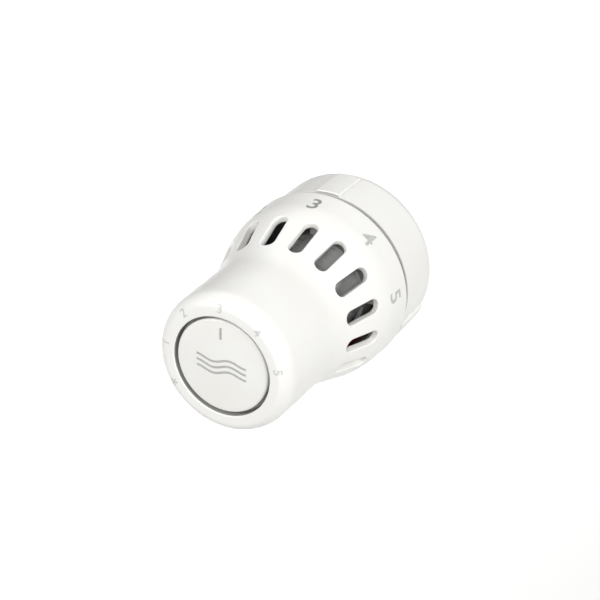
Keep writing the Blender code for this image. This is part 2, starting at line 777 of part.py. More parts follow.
def main():
    clear_scene()
    white = (0.86, 0.86, 0.84)
    wheel_white = make_material("wheel_white", white, 0.35)
    base_white = make_material("base_white", white, 0.4)
    cap_grey = make_material("cap_grey", (0.74, 0.74, 0.73), 0.45)
    frame_grey = make_material("frame_grey", (0.36, 0.36, 0.36), 0.5)
    collar_plastic = make_material("collar_plastic", (0.72, 0.72, 0.7), 0.5)
    jaw_plastic = make_material("jaw_plastic", (0.2, 0.2, 0.21), 0.5)
    pin_plastic = make_material("pin_plastic", (0.55, 0.1, 0.08), 0.45)
    carrier_plastic = make_material("carrier_plastic", (0.32, 0.32, 0.33), 0.5)
    foot_plastic = make_material("foot_plastic", (0.78, 0.78, 0.75), 0.45)
    can_metal = make_material("can_metal", (0.55, 0.55, 0.55), 0.35, 1.0)
    spring_steel = make_material("spring_steel", (0.6, 0.6, 0.6), 0.3, 1.0)
    brass = make_material("brass", (0.78, 0.6, 0.32), 0.35, 1.0)
    copper = make_material("copper", (0.8, 0.45, 0.3), 0.35, 1.0)

    make_base_ring(base_white)
    make_coupling_collar(collar_plastic)
    make_snap_jaws(jaw_plastic)
    make_clamp_spring(spring_steel)
    make_limit_pins(pin_plastic)
    make_guide_frame(frame_grey)
    make_front_cap(cap_grey)
    make_handwheel(wheel_white)
    make_drive_sleeve(frame_grey)
    make_sensor_can(can_metal)
    make_fill_stub(copper)
    make_sensor_end_plate(can_metal)
    make_bellows(brass)
    make_bellows_cap(brass)
    make_spindle(spring_steel)
    make_pressure_foot(foot_plastic)
    make_sensor_carrier(carrier_plastic)
    make_carrier_cap(carrier_plastic)
    make_spring_plate(spring_steel)
    make_stem_clip(spring_steel)
    make_overtravel_spring(spring_steel)


main()
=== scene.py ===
"""Looks of a thermostatic radiator valve head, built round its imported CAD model.

The head's axis is the world Y axis and the front cap faces -Y. As in the CAD model, a "depth" is the
distance in front of the rear face, so a point at depth d has y = -d, and an angle is in degrees,
clockwise as seen from the front, from 0 at +Z. Lengths are in metres.
"""

import json
import math

import bmesh
import bpy
from mathutils import Matrix, Vector


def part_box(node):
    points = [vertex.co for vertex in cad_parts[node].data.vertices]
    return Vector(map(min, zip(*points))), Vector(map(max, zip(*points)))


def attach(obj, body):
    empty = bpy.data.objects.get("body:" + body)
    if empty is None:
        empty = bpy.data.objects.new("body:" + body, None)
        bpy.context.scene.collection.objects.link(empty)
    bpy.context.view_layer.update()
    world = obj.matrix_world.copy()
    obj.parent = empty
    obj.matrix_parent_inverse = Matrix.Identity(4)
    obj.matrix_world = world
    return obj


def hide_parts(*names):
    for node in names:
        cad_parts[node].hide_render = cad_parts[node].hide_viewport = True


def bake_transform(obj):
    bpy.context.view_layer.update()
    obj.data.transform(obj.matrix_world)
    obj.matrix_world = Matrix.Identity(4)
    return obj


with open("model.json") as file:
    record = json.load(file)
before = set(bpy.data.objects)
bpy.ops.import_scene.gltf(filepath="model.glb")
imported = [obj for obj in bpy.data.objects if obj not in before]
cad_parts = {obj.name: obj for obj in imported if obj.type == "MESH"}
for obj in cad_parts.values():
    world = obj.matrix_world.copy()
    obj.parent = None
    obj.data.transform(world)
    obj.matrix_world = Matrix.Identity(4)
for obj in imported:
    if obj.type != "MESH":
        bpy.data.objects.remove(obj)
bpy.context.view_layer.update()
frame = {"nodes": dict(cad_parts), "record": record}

MM = 0.001
AXIS = Vector((0, 1, 0))

# Sizes read from the frame
WHEEL_LOW, WHEEL_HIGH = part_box("handwheel")
BASE_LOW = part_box("base_ring")[0]
CAP_LOW, CAP_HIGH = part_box("front_cap")
SPRING_LOW, SPRING_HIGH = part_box("overtravel_spring")
BELLOWS_LOW, BELLOWS_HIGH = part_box("bellows")
CLAMP_LOW, CLAMP_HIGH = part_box("clamp_spring")
INK_HEIGHT = 0.03 * MM
LENGTH = -WHEEL_LOW.y - INK_HEIGHT
RIM_DEPTH = -WHEEL_HIGH.y
RIM_RADIUS = WHEEL_HIGH.x
BASE_FRONT = -BASE_LOW.y
CAP_RADIUS = CAP_HIGH.x
CAP_FRONT = -CAP_LOW.y

# Handwheel shape, as in the CAD model
WALL = 1.9 * MM
BAND_RADIUS = RIM_RADIUS - 0.35 * MM
HANDLE_REAR_RADIUS = 18.5 * MM
HANDLE_FRONT_RADIUS = 18.3 * MM
FLARE_FRONT = 50.0 * MM
FLARE_REAR = 25.0 * MM
NOSE_DEPTH = LENGTH - 4.5 * MM
NOSE_FACE_RADIUS = 15.3 * MM
CAP_OPENING_RADIUS = CAP_RADIUS + 0.8 * MM
SHELF_RADIUS = 11.2 * MM
SHELF_FRONT = LENGTH - 3.0 * MM
SHELF_REAR = NOSE_DEPTH
SLOTS = 16
SLOT_LENGTH = 10.6 * MM
SLOT_WIDTH = 3.8 * MM
SLOT_DEPTH = RIM_DEPTH + 18.4 * MM
SLOT_EDGE = 0.35 * MM
SLOT_ZONE = 7.6 * MM

# A bevel rounds only the edges sharper than this many degrees
SOFTENED_ANGLE = 40.0

# The scale: one number each 40 degrees, the setting 3 at the pointer
SCALE_STEP = 40.0
SCALE = ["frost", "1", "2", "3", "4", "5"]
SCALE_AT_POINTER = SCALE.index("3")
INK_DEPTH = 0.12 * MM

# Base ring and coupling
BASE_RADIUS = 23.6 * MM
BASE_INNER = 21.5 * MM
WEB = 3.0 * MM
PADS = 3
PAD_HALF_ANGLE = 7.8
PIN_ANGLES = (150.0, 250.0)
PIN_CIRCLE = 19.2 * MM
COLLAR_RADIUS = 12.9 * MM
JAW_ANGLES = (45.0, 135.0, 225.0, 315.0)

# Springs and bellows
SPRING_WIRE = 0.7 * MM
SPRING_TURNS = 4.5
CLAMP_WIRE = 0.6 * MM
CLAMP_OPENING = 24.0
BELLOWS_FOLDS = 5
BELLOWS_ROOT = 7.2 * MM


# ---------------------------------------------------------------------------------------------------
# Mesh helpers


def at(radius, depth, angle=0.0):
    """The point at this radius, depth and angle round the head's axis."""
    turn = math.radians(angle)
    return Vector((radius * math.sin(turn), -depth, radius * math.cos(turn)))


def rounded(corners, steps=4):
    """A closed (radius, depth) outline from (radius, depth, rounding) corners."""
    outline = []
    count = len(corners)
    for k in range(count):
        here = Vector(corners[k][:2])
        rounding = corners[k][2] if len(corners[k]) > 2 else 0.0
        if rounding <= 0.0:
            outline.append(tuple(here))
            continue
        before = Vector(corners[k - 1][:2]) - here
        after = Vector(corners[(k + 1) % count][:2]) - here
        half = before.angle(after) / 2
        reach = min(rounding / math.tan(half), before.length * 0.45, after.length * 0.45)
        start = here + before.normalized() * reach
        end = here + after.normalized() * reach
        for j in range(steps + 1):
            s = j / steps
            outline.append(tuple(start * (1 - s) ** 2 + here * 2 * s * (1 - s) + end * s * s))
    return outline


def sweep(outline, angles, closed):
    """A bmesh through copies of a closed (radius, depth) outline, one at each angle."""
    made = bmesh.new()
    rows = [[made.verts.new(at(radius, depth, angle)) for radius, depth in outline] for angle in angles]
    count = len(outline)
    for index in range(len(rows) if closed else len(rows) - 1):
        here = rows[index]
        there = rows[(index + 1) % len(rows)]
        for k in range(count):
            following = (k + 1) % count
            made.faces.new((here[k], here[following], there[following], there[k]))
    if not closed:
        made.faces.new(rows[0])
        made.faces.new(reversed(rows[-1]))
    bmesh.ops.remove_doubles(made, verts=made.verts, dist=0.0005 * MM)
    bmesh.ops.dissolve_degenerate(made, edges=made.edges, dist=0.0005 * MM)
    return made


def turned(outline, steps=128):
    return sweep(outline, [360.0 * k / steps for k in range(steps)], closed=True)


def sector(outline, start, end, steps=12):
    return sweep(outline, [start + (end - start) * k / steps for k in range(steps + 1)], closed=False)


def box_outline(inner, outer, rear, front, rounding=0.0):
    return rounded(
        [(inner, rear, rounding), (outer, rear, rounding), (outer, front, rounding), (inner, front, rounding)]
    )


def tube(points, radius, sides=12):
    """A round wire through these points, with flat ends."""
    made = bmesh.new()
    rings = []
    for k, here in enumerate(points):
        along = (points[min(k + 1, len(points) - 1)] - points[max(k - 1, 0)]).normalized()
        side = along.cross(Vector((here.x, 0.0, here.z))).normalized()
        outwards = side.cross(along)
        ring = []
        for j in range(sides):
            turn = math.tau * j / sides
            ring.append(made.verts.new(here + radius * (math.cos(turn) * outwards + math.sin(turn) * side)))
        rings.append(ring)
    for here, there in zip(rings, rings[1:]):
        for k in range(sides):
            following = (k + 1) % sides
            made.faces.new((here[k], here[following], there[following], there[k]))
    made.faces.new(rings[0])
    made.faces.new(reversed(rings[-1]))
    return made


def axial_rod(outline, circle, angle=0.0, steps=32):
    """A turned (radius, depth) outline whose own axis is parallel to the head's, at this place."""
    made = turned(outline, steps)
    made.transform(Matrix.Translation(at(circle, 0.0, angle)))
    return made


def to_object(name, made, smooth_angle=38.0):
    bmesh.ops.recalc_face_normals(made, faces=made.faces)
    mesh = bpy.data.meshes.new(name)
    made.to_mesh(mesh)
    made.free()
    mesh.shade_smooth()
    mesh.set_sharp_from_angle(angle=math.radians(smooth_angle))
    obj = bpy.data.objects.new(name, mesh)
    bpy.context.scene.collection.objects.link(obj)
    return obj


def merged(parts):
    """Several bmeshes as one."""
    result = bmesh.new()
    for part in parts:
        mesh = bpy.data.meshes.new("part")
        part.to_mesh(mesh)
        part.free()
        result.from_mesh(mesh)
        bpy.data.meshes.remove(mesh)
    return result


def repeated(make, angles):
    """make() turned to each of these angles, as one bmesh."""
    parts = []
    for angle in angles:
        part = make()
        part.transform(Matrix.Rotation(math.radians(angle), 4, AXIS))
        parts.append(part)
    return merged(parts)


def every(count, first=0.0):
    return [first + 360.0 * k / count for k in range(count)]


def carve(target, operand):
    """Cuts a bmesh out of the target for good."""
    helper = to_object("helper", operand)
    modifier = target.modifiers.new("carve", "BOOLEAN")
    modifier.operation = "DIFFERENCE"
    modifier.solver = "EXACT"
    modifier.object = helper
    bpy.context.view_layer.update()
    graph = bpy.context.evaluated_depsgraph_get()
    result = bpy.data.meshes.new_from_object(target.evaluated_get(graph))
    old = target.data
    target.modifiers.clear()
    target.data = result
    bpy.data.meshes.remove(old)
    bpy.data.objects.remove(helper, do_unlink=True)


def soften(obj, width, segments=3):
    """Rounds the sharp edges and keeps the flat faces flat."""
    bevel = obj.modifiers.new("edges", "BEVEL")
    bevel.width = width
    bevel.segments = segments
    bevel.limit_method = "ANGLE"
    bevel.angle_limit = math.radians(SOFTENED_ANGLE)
    bevel.use_clamp_overlap = True
    bevel.harden_normals = False
    weigh(obj)


def weigh(obj):
    normals = obj.modifiers.new("normals", "WEIGHTED_NORMAL")
    normals.keep_sharp = True


def place(obj, material, body, replaces=()):
    obj.data.materials.clear()
    obj.data.materials.append(material)
    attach(obj, body)
    if replaces:
        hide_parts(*replaces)
    return obj


# ---------------------------------------------------------------------------------------------------
# Materials


class Surface:
    """A Principled material under construction, with short calls for its procedural detail."""

    def __init__(self, name, colour, roughness, metallic=0.0):
        self.material = bpy.data.materials.new(name)
        self.material.use_nodes = True
        self.nodes = self.material.node_tree.nodes
        self.links = self.material.node_tree.links
        self.shader = self.nodes["Principled BSDF"]
        self.shader.inputs["Metallic"].default_value = metallic
        self.shader.inputs["Base Color"].default_value = (*colour, 1.0)
        self.shader.inputs["Roughness"].default_value = roughness
        self.colour = colour
        self.roughness = roughness
        self.where = self.nodes.new("ShaderNodeTexCoord").outputs["Object"]
        self.bump_input = None

    def stretched(self, scale):
        mapping = self.nodes.new("ShaderNodeMapping")
        mapping.inputs["Scale"].default_value = scale
        self.links.new(self.where, mapping.inputs["Vector"])
        return mapping.outputs["Vector"]

    def noise(self, size, detail=3.0, roughness=0.5, distortion=0.0, stretch=None):
        """Noise whose blobs are about size across."""
        node = self.nodes.new("ShaderNodeTexNoise")
        node.inputs["Scale"].default_value = 1.0 / size
        node.inputs["Detail"].default_value = detail
        node.inputs["Roughness"].default_value = roughness
        node.inputs["Distortion"].default_value = distortion
        self.links.new(self.stretched(stretch) if stretch else self.where, node.inputs["Vector"])
        return node.outputs["Fac"]

    def ranged(self, value, low, high, start=0.3, end=0.7):
        node = self.nodes.new("ShaderNodeMapRange")
        node.inputs["From Min"].default_value = start
        node.inputs["From Max"].default_value = end
        node.inputs["To Min"].default_value = low
        node.inputs["To Max"].default_value = high
        self.links.new(value, node.inputs["Value"])
        return node.outputs["Result"]

    def maths(self, operation, first, second):
        node = self.nodes.new("ShaderNodeMath")
        node.operation = operation
        for socket, value in zip(node.inputs, (first, second)):
            if isinstance(value, (int, float)):
                socket.default_value = value
            else:
                self.links.new(value, socket)
        return node.outputs["Value"]

    def mixed(self, factor, first, second):
        node = self.nodes.new("ShaderNodeMix")
        node.data_type = "RGBA"
        self.links.new(factor, node.inputs["Factor"])
        for name, value in (("A_Color", first), ("B_Color", second)):
            socket = next(s for s in node.inputs if s.identifier == name)
            if isinstance(value, tuple):
                socket.default_value = (*value, 1.0)
            else:
                self.links.new(value, socket)
        return next(s for s in node.outputs if s.identifier == "Result_Color")

    def tint(self, factor, second):
        result = self.mixed(factor, self.colour, second)
        self.links.new(result, self.shader.inputs["Base Color"])
        return result

    def rough(self, value):
        self.links.new(value, self.shader.inputs["Roughness"])

    def bump(self, height, distance, strength=1.0):
        node = self.nodes.new("ShaderNodeBump")
        node.inputs["Distance"].default_value = distance
        node.inputs["Strength"].default_value = strength
        self.links.new(height, node.inputs["Height"])
        if self.bump_input is not None:
            self.links.new(self.bump_input, node.inputs["Normal"])
        self.bump_input = node.outputs["Normal"]
        self.links.new(self.bump_input, self.shader.inputs["Normal"])


def moulded(name, colour, roughness, grain=0.12 * MM, grain_height=0.004 * MM, yellowing=0.02, scuffs=0.06):
    """Injection-moulded plastic: slight tone drift, fine spark grain, and faint scuffs."""
    s = Surface(name, colour, roughness)
    shaded = tuple(c * (1.0 - yellowing * (1.0 + k * 0.7)) for k, c in enumerate(colour))
    s.tint(s.ranged(s.noise(14 * MM, detail=2.0), 0.0, 1.0), shaded)
    flow = s.noise(3.5 * MM, detail=4.0, roughness=0.6)
    fine = s.noise(0.6 * MM, detail=3.0, roughness=0.7)
    spread = s.maths("ADD", s.ranged(flow, -scuffs / 2, scuffs / 2), s.ranged(fine, -0.02, 0.02))
    s.rough(s.maths("ADD", spread, roughness))
    s.bump(s.noise(grain, detail=2.0, roughness=0.6), grain_height)
    s.bump(s.noise(5 * MM, detail=1.0), 0.02 * MM)
    s.shader.inputs["Specular IOR Level"].default_value = 0.5
    return s


def white_plastic():
    s = moulded("white_plastic_look", (0.83, 0.83, 0.808), 0.34)
    s.shader.inputs["Coat Weight"].default_value = 0.12
    s.shader.inputs["Coat Roughness"].default_value = 0.22
    s.shader.inputs["Subsurface Weight"].default_value = 0.08
    s.shader.inputs["Subsurface Radius"].default_value = (0.9 * MM, 0.8 * MM, 0.7 * MM)
    s.shader.inputs["Subsurface Scale"].default_value = 1.0
    return s.material


def cap_plastic():
    s = moulded("cap_plastic_look", (0.81, 0.81, 0.785), 0.42, grain=0.2 * MM, grain_height=0.008 * MM)
    return s.material


def frame_plastic():
    s = moulded("frame_plastic_look", (0.3, 0.3, 0.3), 0.5, grain=0.25 * MM, grain_height=0.01 * MM)
    return s.material


def collar_plastic():
    return moulded("collar_plastic_look", (0.6, 0.6, 0.585), 0.42, grain=0.2 * MM).material


def jaw_plastic():
    return moulded("jaw_plastic_look", (0.06, 0.06, 0.063), 0.4, scuffs=0.12).material


def pin_plastic():
    return moulded("pin_plastic_look", (0.5, 0.045, 0.035), 0.35).material


def carrier_plastic():
    s = moulded("carrier_plastic_look", (0.13, 0.13, 0.135), 0.48, grain=0.3 * MM, grain_height=0.012 * MM)
    fibres = s.noise(0.5 * MM, detail=4.0, roughness=0.7, stretch=(1.0, 0.2, 1.0))
    s.bump(fibres, 0.01 * MM)
    return s.material


def foot_plastic():
    return moulded("foot_plastic_look", (0.7, 0.69, 0.64), 0.4, grain=0.15 * MM, yellowing=0.05).material


def drawn_metal(name, colour, roughness, line=0.05 * MM, stain=0.85):
    """Metal drawn or turned along the head's axis, with fine rings round it and a few dull patches."""
    s = Surface(name, colour, roughness, metallic=1.0)
    patches = s.ranged(s.noise(4 * MM, detail=5.0, roughness=0.65), 0.0, 1.0, 0.45, 0.75)
    s.tint(patches, tuple(c * stain for c in colour))
    rings = s.noise(line, detail=2.0, stretch=(0.02, 1.0, 0.02))
    dulled = s.maths("ADD", s.maths("MULTIPLY", patches, 0.1), roughness)
    s.rough(s.maths("ADD", s.ranged(rings, -0.07, 0.07), dulled))
    s.bump(rings, 0.004 * MM)
    return s.material


def can_metal():
    """Matt zinc-plated steel, with faint rings from drawing and a few dull patches."""
    s = Surface("can_metal_look", (0.8, 0.8, 0.795), 0.5, metallic=0.2)
    patches = s.ranged(s.noise(4 * MM, detail=5.0, roughness=0.65), 0.0, 1.0, 0.45, 0.75)
    s.tint(patches, (0.72, 0.72, 0.72))
    rings = s.noise(0.08 * MM, detail=2.0, stretch=(0.02, 1.0, 0.02))
    s.rough(s.maths("ADD", s.ranged(rings, 0.45, 0.55), s.maths("MULTIPLY", patches, 0.1)))
    s.bump(rings, 0.003 * MM)
    return s.material


def spring_steel():
    return drawn_metal("spring_steel_look", (0.5, 0.5, 0.51), 0.28, stain=0.75)


def spindle_steel():
    return drawn_metal("spindle_steel_look", (0.6, 0.6, 0.61), 0.2)


def bellows_brass():
    return drawn_metal("bellows_brass_look", (0.72, 0.53, 0.25), 0.25, stain=0.7)


def copper():
    return drawn_metal("copper_look", (0.72, 0.36, 0.23), 0.3, stain=0.6)


def printed_ink(name, colour, roughness=0.45):
    """Pad-printed ink: a little uneven in tone, with the faint texture of the plastic under it."""
    s = Surface(name, colour, roughness)
    s.tint(s.ranged(s.noise(0.7 * MM, detail=4.0), 0.0, 1.0), tuple(min(1.0, c * 1.18) for c in colour))
    s.rough(s.ranged(s.noise(0.4 * MM), roughness - 0.05, roughness + 0.08))
    s.bump(s.noise(0.12 * MM, detail=2.0), 0.003 * MM)
    return s.material


def paper_floor():
    s = Surface("floor_look", (0.93, 0.93, 0.925), 0.85)
    s.tint(s.ranged(s.noise(0.3, detail=2.0), 0.0, 1.0), (0.92, 0.92, 0.915))
    s.bump(s.noise(0.6 * MM, detail=3.0), 0.01 * MM)
    return s.material


LOOKS = {
    "white_plastic": white_plastic(),
    "cap_plastic": cap_plastic(),
    "frame_plastic": frame_plastic(),
    "collar_plastic": collar_plastic(),
    "jaw_plastic": jaw_plastic(),
    "pin_plastic": pin_plastic(),
    "carrier_plastic": carrier_plastic(),
    "foot_plastic": foot_plastic(),
    "can_metal": can_metal(),
    "spring_steel": spring_steel(),
    "spindle_steel": spindle_steel(),
    "bellows_brass": bellows_brass(),
    "copper": copper(),
}


# ---------------------------------------------------------------------------------------------------
# Handwheel


def smoothstep(value):
    held = min(max(value, 0.0), 1.0)
    return held * held * (3.0 - 2.0 * held)


def wheel_radius(depth):
    """Outer radius behind the rounded nose: the number band, the flare and the handle."""
    if depth <= FLARE_REAR:
        return BAND_RADIUS + (RIM_RADIUS - BAND_RADIUS) * (FLARE_REAR - depth) / (FLARE_REAR - RIM_DEPTH)
    if depth <= FLARE_FRONT:
        rise = smoothstep((FLARE_FRONT - depth) / (FLARE_FRONT - FLARE_REAR))
        return HANDLE_REAR_RADIUS + (BAND_RADIUS - HANDLE_REAR_RADIUS) * rise
    along = (depth - FLARE_FRONT) / (NOSE_DEPTH - FLARE_FRONT)
    return HANDLE_REAR_RADIUS + (HANDLE_FRONT_RADIUS - HANDLE_REAR_RADIUS) * along


def wheel_section(depth, inset=0.0):
    """(radius, depth) of the point that is inset below the outer surface, at right angles to it."""
    probe = 0.05 * MM
    slope = (wheel_radius(depth + probe) - wheel_radius(depth - probe)) / (2 * probe)
    length = math.hypot(1.0, slope)
    return wheel_radius(depth) - inset / length, depth + inset * slope / length


def span(start, end, count):
    return [start + (end - start) * k / count for k in range(count + 1)]


ACROSS = 8
ALONG = 8
CORNER = 3


def slot_ring(margin):
    """The slot's outline grown by margin, as (across, along) points from the middle of its right side,
    matched one to one with frame_ring."""
    half_straight = (SLOT_LENGTH - SLOT_WIDTH) / 2
    radius = SLOT_WIDTH / 2 + margin
    points = []
    arc_steps = ACROSS + 2 * CORNER
    for side in (1, -1):
        for along in span(-half_straight, half_straight, ALONG)[:-1]:
            points.append((side * radius, side * along))
        for k in range(arc_steps):
            turn = math.pi * k / arc_steps
            points.append((side * radius * math.cos(turn), side * (half_straight + radius * math.sin(turn))))
    return points


def frame_ring(half_angle):
    """The border of one slot's share of the wheel, as (angle, along) points matched with slot_ring."""
    half_straight = (SLOT_LENGTH - SLOT_WIDTH) / 2
    points = []
    for side in (1, -1):
        for along in span(-half_straight, half_straight, ALONG)[:-1]:
            points.append((side * half_angle, side * along))
        for along in span(half_straight, SLOT_ZONE, CORNER)[:-1]:
            points.append((side * half_angle, side * along))
        for angle in span(side * half_angle, -side * half_angle, ACROSS)[:-1]:
            points.append((angle, side * SLOT_ZONE))
        for along in span(SLOT_ZONE, half_straight, CORNER)[:-1]:
            points.append((-side * half_angle, side * along))
    return points


def slot_zone_rings():
    """Rings of (angle, depth, inset) from the outer border over the slot's edge to the inner border."""
    half_angle = 180.0 / SLOTS
    border = frame_ring(half_angle)

    def on_wheel(ring, inset):
        rows = []
        for across, along in ring:
            depth = SLOT_DEPTH + along
            angle = math.degrees(across / wheel_radius(depth))
            rows.append((angle, depth, inset))
        return rows

    def towards_border(ring, share, inset):
        rows = []
        for (angle, depth, _), (border_angle, along) in zip(on_wheel(ring, inset), border):
            mixed_angle = angle + (border_angle - angle) * share
            mixed_depth = depth + (SLOT_DEPTH + along - depth) * share
            rows.append((mixed_angle, mixed_depth, inset))
        return rows

    inner_edge = 0.15 * MM
    near = slot_ring(SLOT_EDGE + 0.25 * MM)
    rings = [towards_border(near, share, 0.0) for share in (1.0, 0.66, 0.33, 0.0)]
    for k in range(6):
        turn = math.pi / 2 * k / 5
        margin = SLOT_EDGE * (1.0 - math.sin(turn))
        rings.append(on_wheel(slot_ring(margin), SLOT_EDGE * (1.0 - math.cos(turn))))
    for inset in span(SLOT_EDGE, WALL - inner_edge, 3)[1:]:
        rings.append(on_wheel(slot_ring(0.0), inset))
    rings.append(on_wheel(slot_ring(inner_edge * 0.4), WALL - inner_edge * 0.4))
    rings.append(on_wheel(slot_ring(inner_edge), WALL))
    rings += [towards_border(near, share, WALL) for share in (0.33, 0.66, 1.0)]
    return rings


def wheel_vertex(angle, depth, inset):
    radius, moved_depth = wheel_section(depth, inset)
    return at(radius, moved_depth, angle)


def slot_zone():
    """The sixteen slotted shares of the wheel, outer and inner skin with the slot walls between."""
    made = bmesh.new()
    rings = slot_zone_rings()
    count = len(rings[0])
    for middle in every(SLOTS, 180.0 / SLOTS):
        rows = [
            [made.verts.new(wheel_vertex(middle + angle, depth, inset)) for angle, depth, inset in ring]
            for ring in rings
        ]
        for here, there in zip(rows, rows[1:]):
            for k in range(count):
                following = (k + 1) % count
                made.faces.new((here[k], here[following], there[following], there[k]))
    return made


def open_strip(outline, steps):
    """A full turn of an open (radius, depth) line."""
    made = bmesh.new()
    rows = []
    for k in range(steps):
        angle = 360.0 * k / steps
        rows.append([made.verts.new(at(radius, depth, angle)) for radius, depth in outline])
    for k in range(steps):
        here, there = rows[k], rows[(k + 1) % steps]
        for j in range(len(outline) - 1):
            made.faces.new((here[j], here[j + 1], there[j + 1], there[j]))
    return made


def nose_outline():
    """From the front of the slot zone over the handle and nose, into the cap's opening and back inside."""
    zone_front = SLOT_DEPTH + SLOT_ZONE
    outline = [(wheel_radius(d), d) for d in span(zone_front, NOSE_DEPTH, 16)]
    for k in range(1, 11):
        turn = math.pi / 2 * k / 10
        radius = NOSE_FACE_RADIUS + (HANDLE_FRONT_RADIUS - NOSE_FACE_RADIUS) * math.cos(turn)
        outline.append((radius, NOSE_DEPTH + (LENGTH - NOSE_DEPTH) * math.sin(turn)))
    lip = 0.3 * MM
    for k in range(6):
        turn = math.pi / 2 * k / 5
        outline.append((CAP_OPENING_RADIUS + lip * (1 - math.sin(turn)), LENGTH - lip * (1 - math.cos(turn))))
    outline += [
        (CAP_OPENING_RADIUS, SHELF_FRONT + 0.15 * MM),
        (CAP_OPENING_RADIUS - 0.15 * MM, SHELF_FRONT),
        (SHELF_RADIUS + 0.15 * MM, SHELF_FRONT),
        (SHELF_RADIUS, SHELF_FRONT - 0.15 * MM),
        (SHELF_RADIUS, SHELF_REAR + 0.15 * MM),
        (SHELF_RADIUS + 0.15 * MM, SHELF_REAR),
        (14.6 * MM, SHELF_REAR),
        (15.6 * MM, SHELF_REAR - 0.6 * MM),
    ]
    outline += [wheel_section(d, WALL) for d in span(NOSE_DEPTH - 2.0 * MM, zone_front, 12)]
    return outline


def rim_outline():
    """From the rear of the slot zone over the number band, round the rim, and back inside."""
    zone_rear = SLOT_DEPTH - SLOT_ZONE
    edge = 0.45 * MM
    outline = [(wheel_radius(d), d) for d in span(zone_rear, RIM_DEPTH + edge, 8)]
    for k in range(1, 6):
        turn = math.pi / 2 * k / 5
        radius = wheel_radius(RIM_DEPTH + edge) - edge * (1 - math.cos(turn))
        outline.append((radius, RIM_DEPTH + edge * (1 - math.sin(turn))))
    inner = RIM_RADIUS - WALL
    outline += [(inner + 0.2 * MM, RIM_DEPTH), (inner, RIM_DEPTH + 0.2 * MM)]
    outline += [wheel_section(d, WALL) for d in span(RIM_DEPTH + 1.5 * MM, zone_rear, 5)]
    return outline


def paint_gap_shade(obj, shade_look, inside):
    """Gives the faces whose middle (radius, depth) is inside a gap a darker material: painted shade for the
    gap.
    """
    obj.data.materials.append(shade_look)
    for face in obj.data.polygons:
        if inside(math.hypot(face.center.x, face.center.z), -face.center.y):
            face.material_index = 1


def in_cap_gap(radius, depth):
    return radius < CAP_OPENING_RADIUS + 0.02 * MM and SHELF_FRONT - 0.1 * MM < depth < LENGTH - 0.5 * MM


def make_handwheel():
    steps = SLOTS * ACROSS
    made = merged([slot_zone(), open_strip(nose_outline(), steps), open_strip(rim_outline(), steps)])
    bmesh.ops.remove_doubles(made, verts=made.verts, dist=0.002 * MM)
    wheel = to_object("handwheel_shell", made, smooth_angle=50.0)
    weigh(wheel)
    place(wheel, LOOKS["white_plastic"], "wheel", ["handwheel"])
    # The cap's groove gets a dark grey material: painted shade in the gap between the cap and the wheel.
    paint_gap_shade(wheel, moulded("cap_gap_painted_shade_look", (0.3, 0.3, 0.29), 0.7).material, in_cap_gap)
    stop_outline = box_outline(18.95 * MM, RIM_RADIUS - WALL + 0.2 * MM, 23.6 * MM, 26.6 * MM, 0.3 * MM)
    tab = sector(stop_outline, -6.0, 6.0)
    stop = to_object("wheel_stop_tab", tab)
    place(stop, LOOKS["white_plastic"], "wheel")


# ---------------------------------------------------------------------------------------------------
# Scale, index mark and emblem


def glyph_mesh(text, height):
    """The flat outline of one character, centred, its height along +y, cut fine enough to bend."""
    curve = bpy.data.curves.new("glyph", "FONT")
    curve.body = text
    curve.align_x = "CENTER"
    curve.size = 1.0
    curve.offset = 0.012
    curve.resolution_u = 6
    obj = bpy.data.objects.new("glyph", curve)
    bpy.context.scene.collection.objects.link(obj)
    bpy.context.view_layer.update()
    graph = bpy.context.evaluated_depsgraph_get()
    mesh = bpy.data.meshes.new_from_object(obj.evaluated_get(graph))
    made = bmesh.new()
    made.from_mesh(mesh)
    bpy.data.objects.remove(obj, do_unlink=True)
    bpy.data.curves.remove(curve)
    bpy.data.meshes.remove(mesh)
    return fitted(made, height)


def fitted(made, height):
    bmesh.ops.remove_doubles(made, verts=made.verts, dist=1e-5)
    xs = [v.co.x for v in made.verts]
    ys = [v.co.y for v in made.verts]
    centre = Vector(((min(xs) + max(xs)) / 2, (min(ys) + max(ys)) / 2, 0.0))
    factor = height / (max(ys) - min(ys))
    for vert in made.verts:
        vert.co = (vert.co - centre) * factor
    return made


def frost_mesh(height):
    """A six-armed frost star with short side twigs."""
    bars = []
    for angle in (0.0, 60.0, 120.0):
        bars.append((Vector((0, 0)), angle, height * 0.5, height * 0.06))
        for end in (1, -1):
            for lean in (45.0, -45.0):
                away = math.radians(angle) + (0 if end > 0 else math.pi)
                root = Vector((math.cos(away), math.sin(away))) * height * 0.28
                bars.append((root, math.degrees(away) + lean, height * 0.13, height * 0.05))
    made = bmesh.new()
    for root, angle, reach, half in bars:
        along = Vector((math.cos(math.radians(angle)), math.sin(math.radians(angle))))
        side = Vector((-along.y, along.x)) * half
        start = root - along * (reach if root.length < 1e-9 else 0.0)
        end = root + along * reach
        corners = (start - side, end - side, end + side, start + side)
        made.faces.new([made.verts.new((p.x, p.y, 0.0)) for p in corners])
    return made


def cut_fine(made, pitch):
    """Cuts a flat mesh along a grid, so that it can follow a curved surface."""
    for axis in (0, 1):
        values = [v.co[axis] for v in made.verts]
        count = int((max(values) - min(values)) / pitch)
        normal = Vector((1, 0, 0)) if axis == 0 else Vector((0, 1, 0))
        for k in range(1, count + 1):
            spot = Vector((0, 0, 0))
            spot[axis] = min(values) + pitch * k
            geometry = list(made.verts) + list(made.edges) + list(made.faces)
            bmesh.ops.bisect_plane(made, geom=geometry, plane_co=spot, plane_no=normal, dist=1e-7)
    bmesh.ops.triangulate(made, faces=made.faces)
    return made


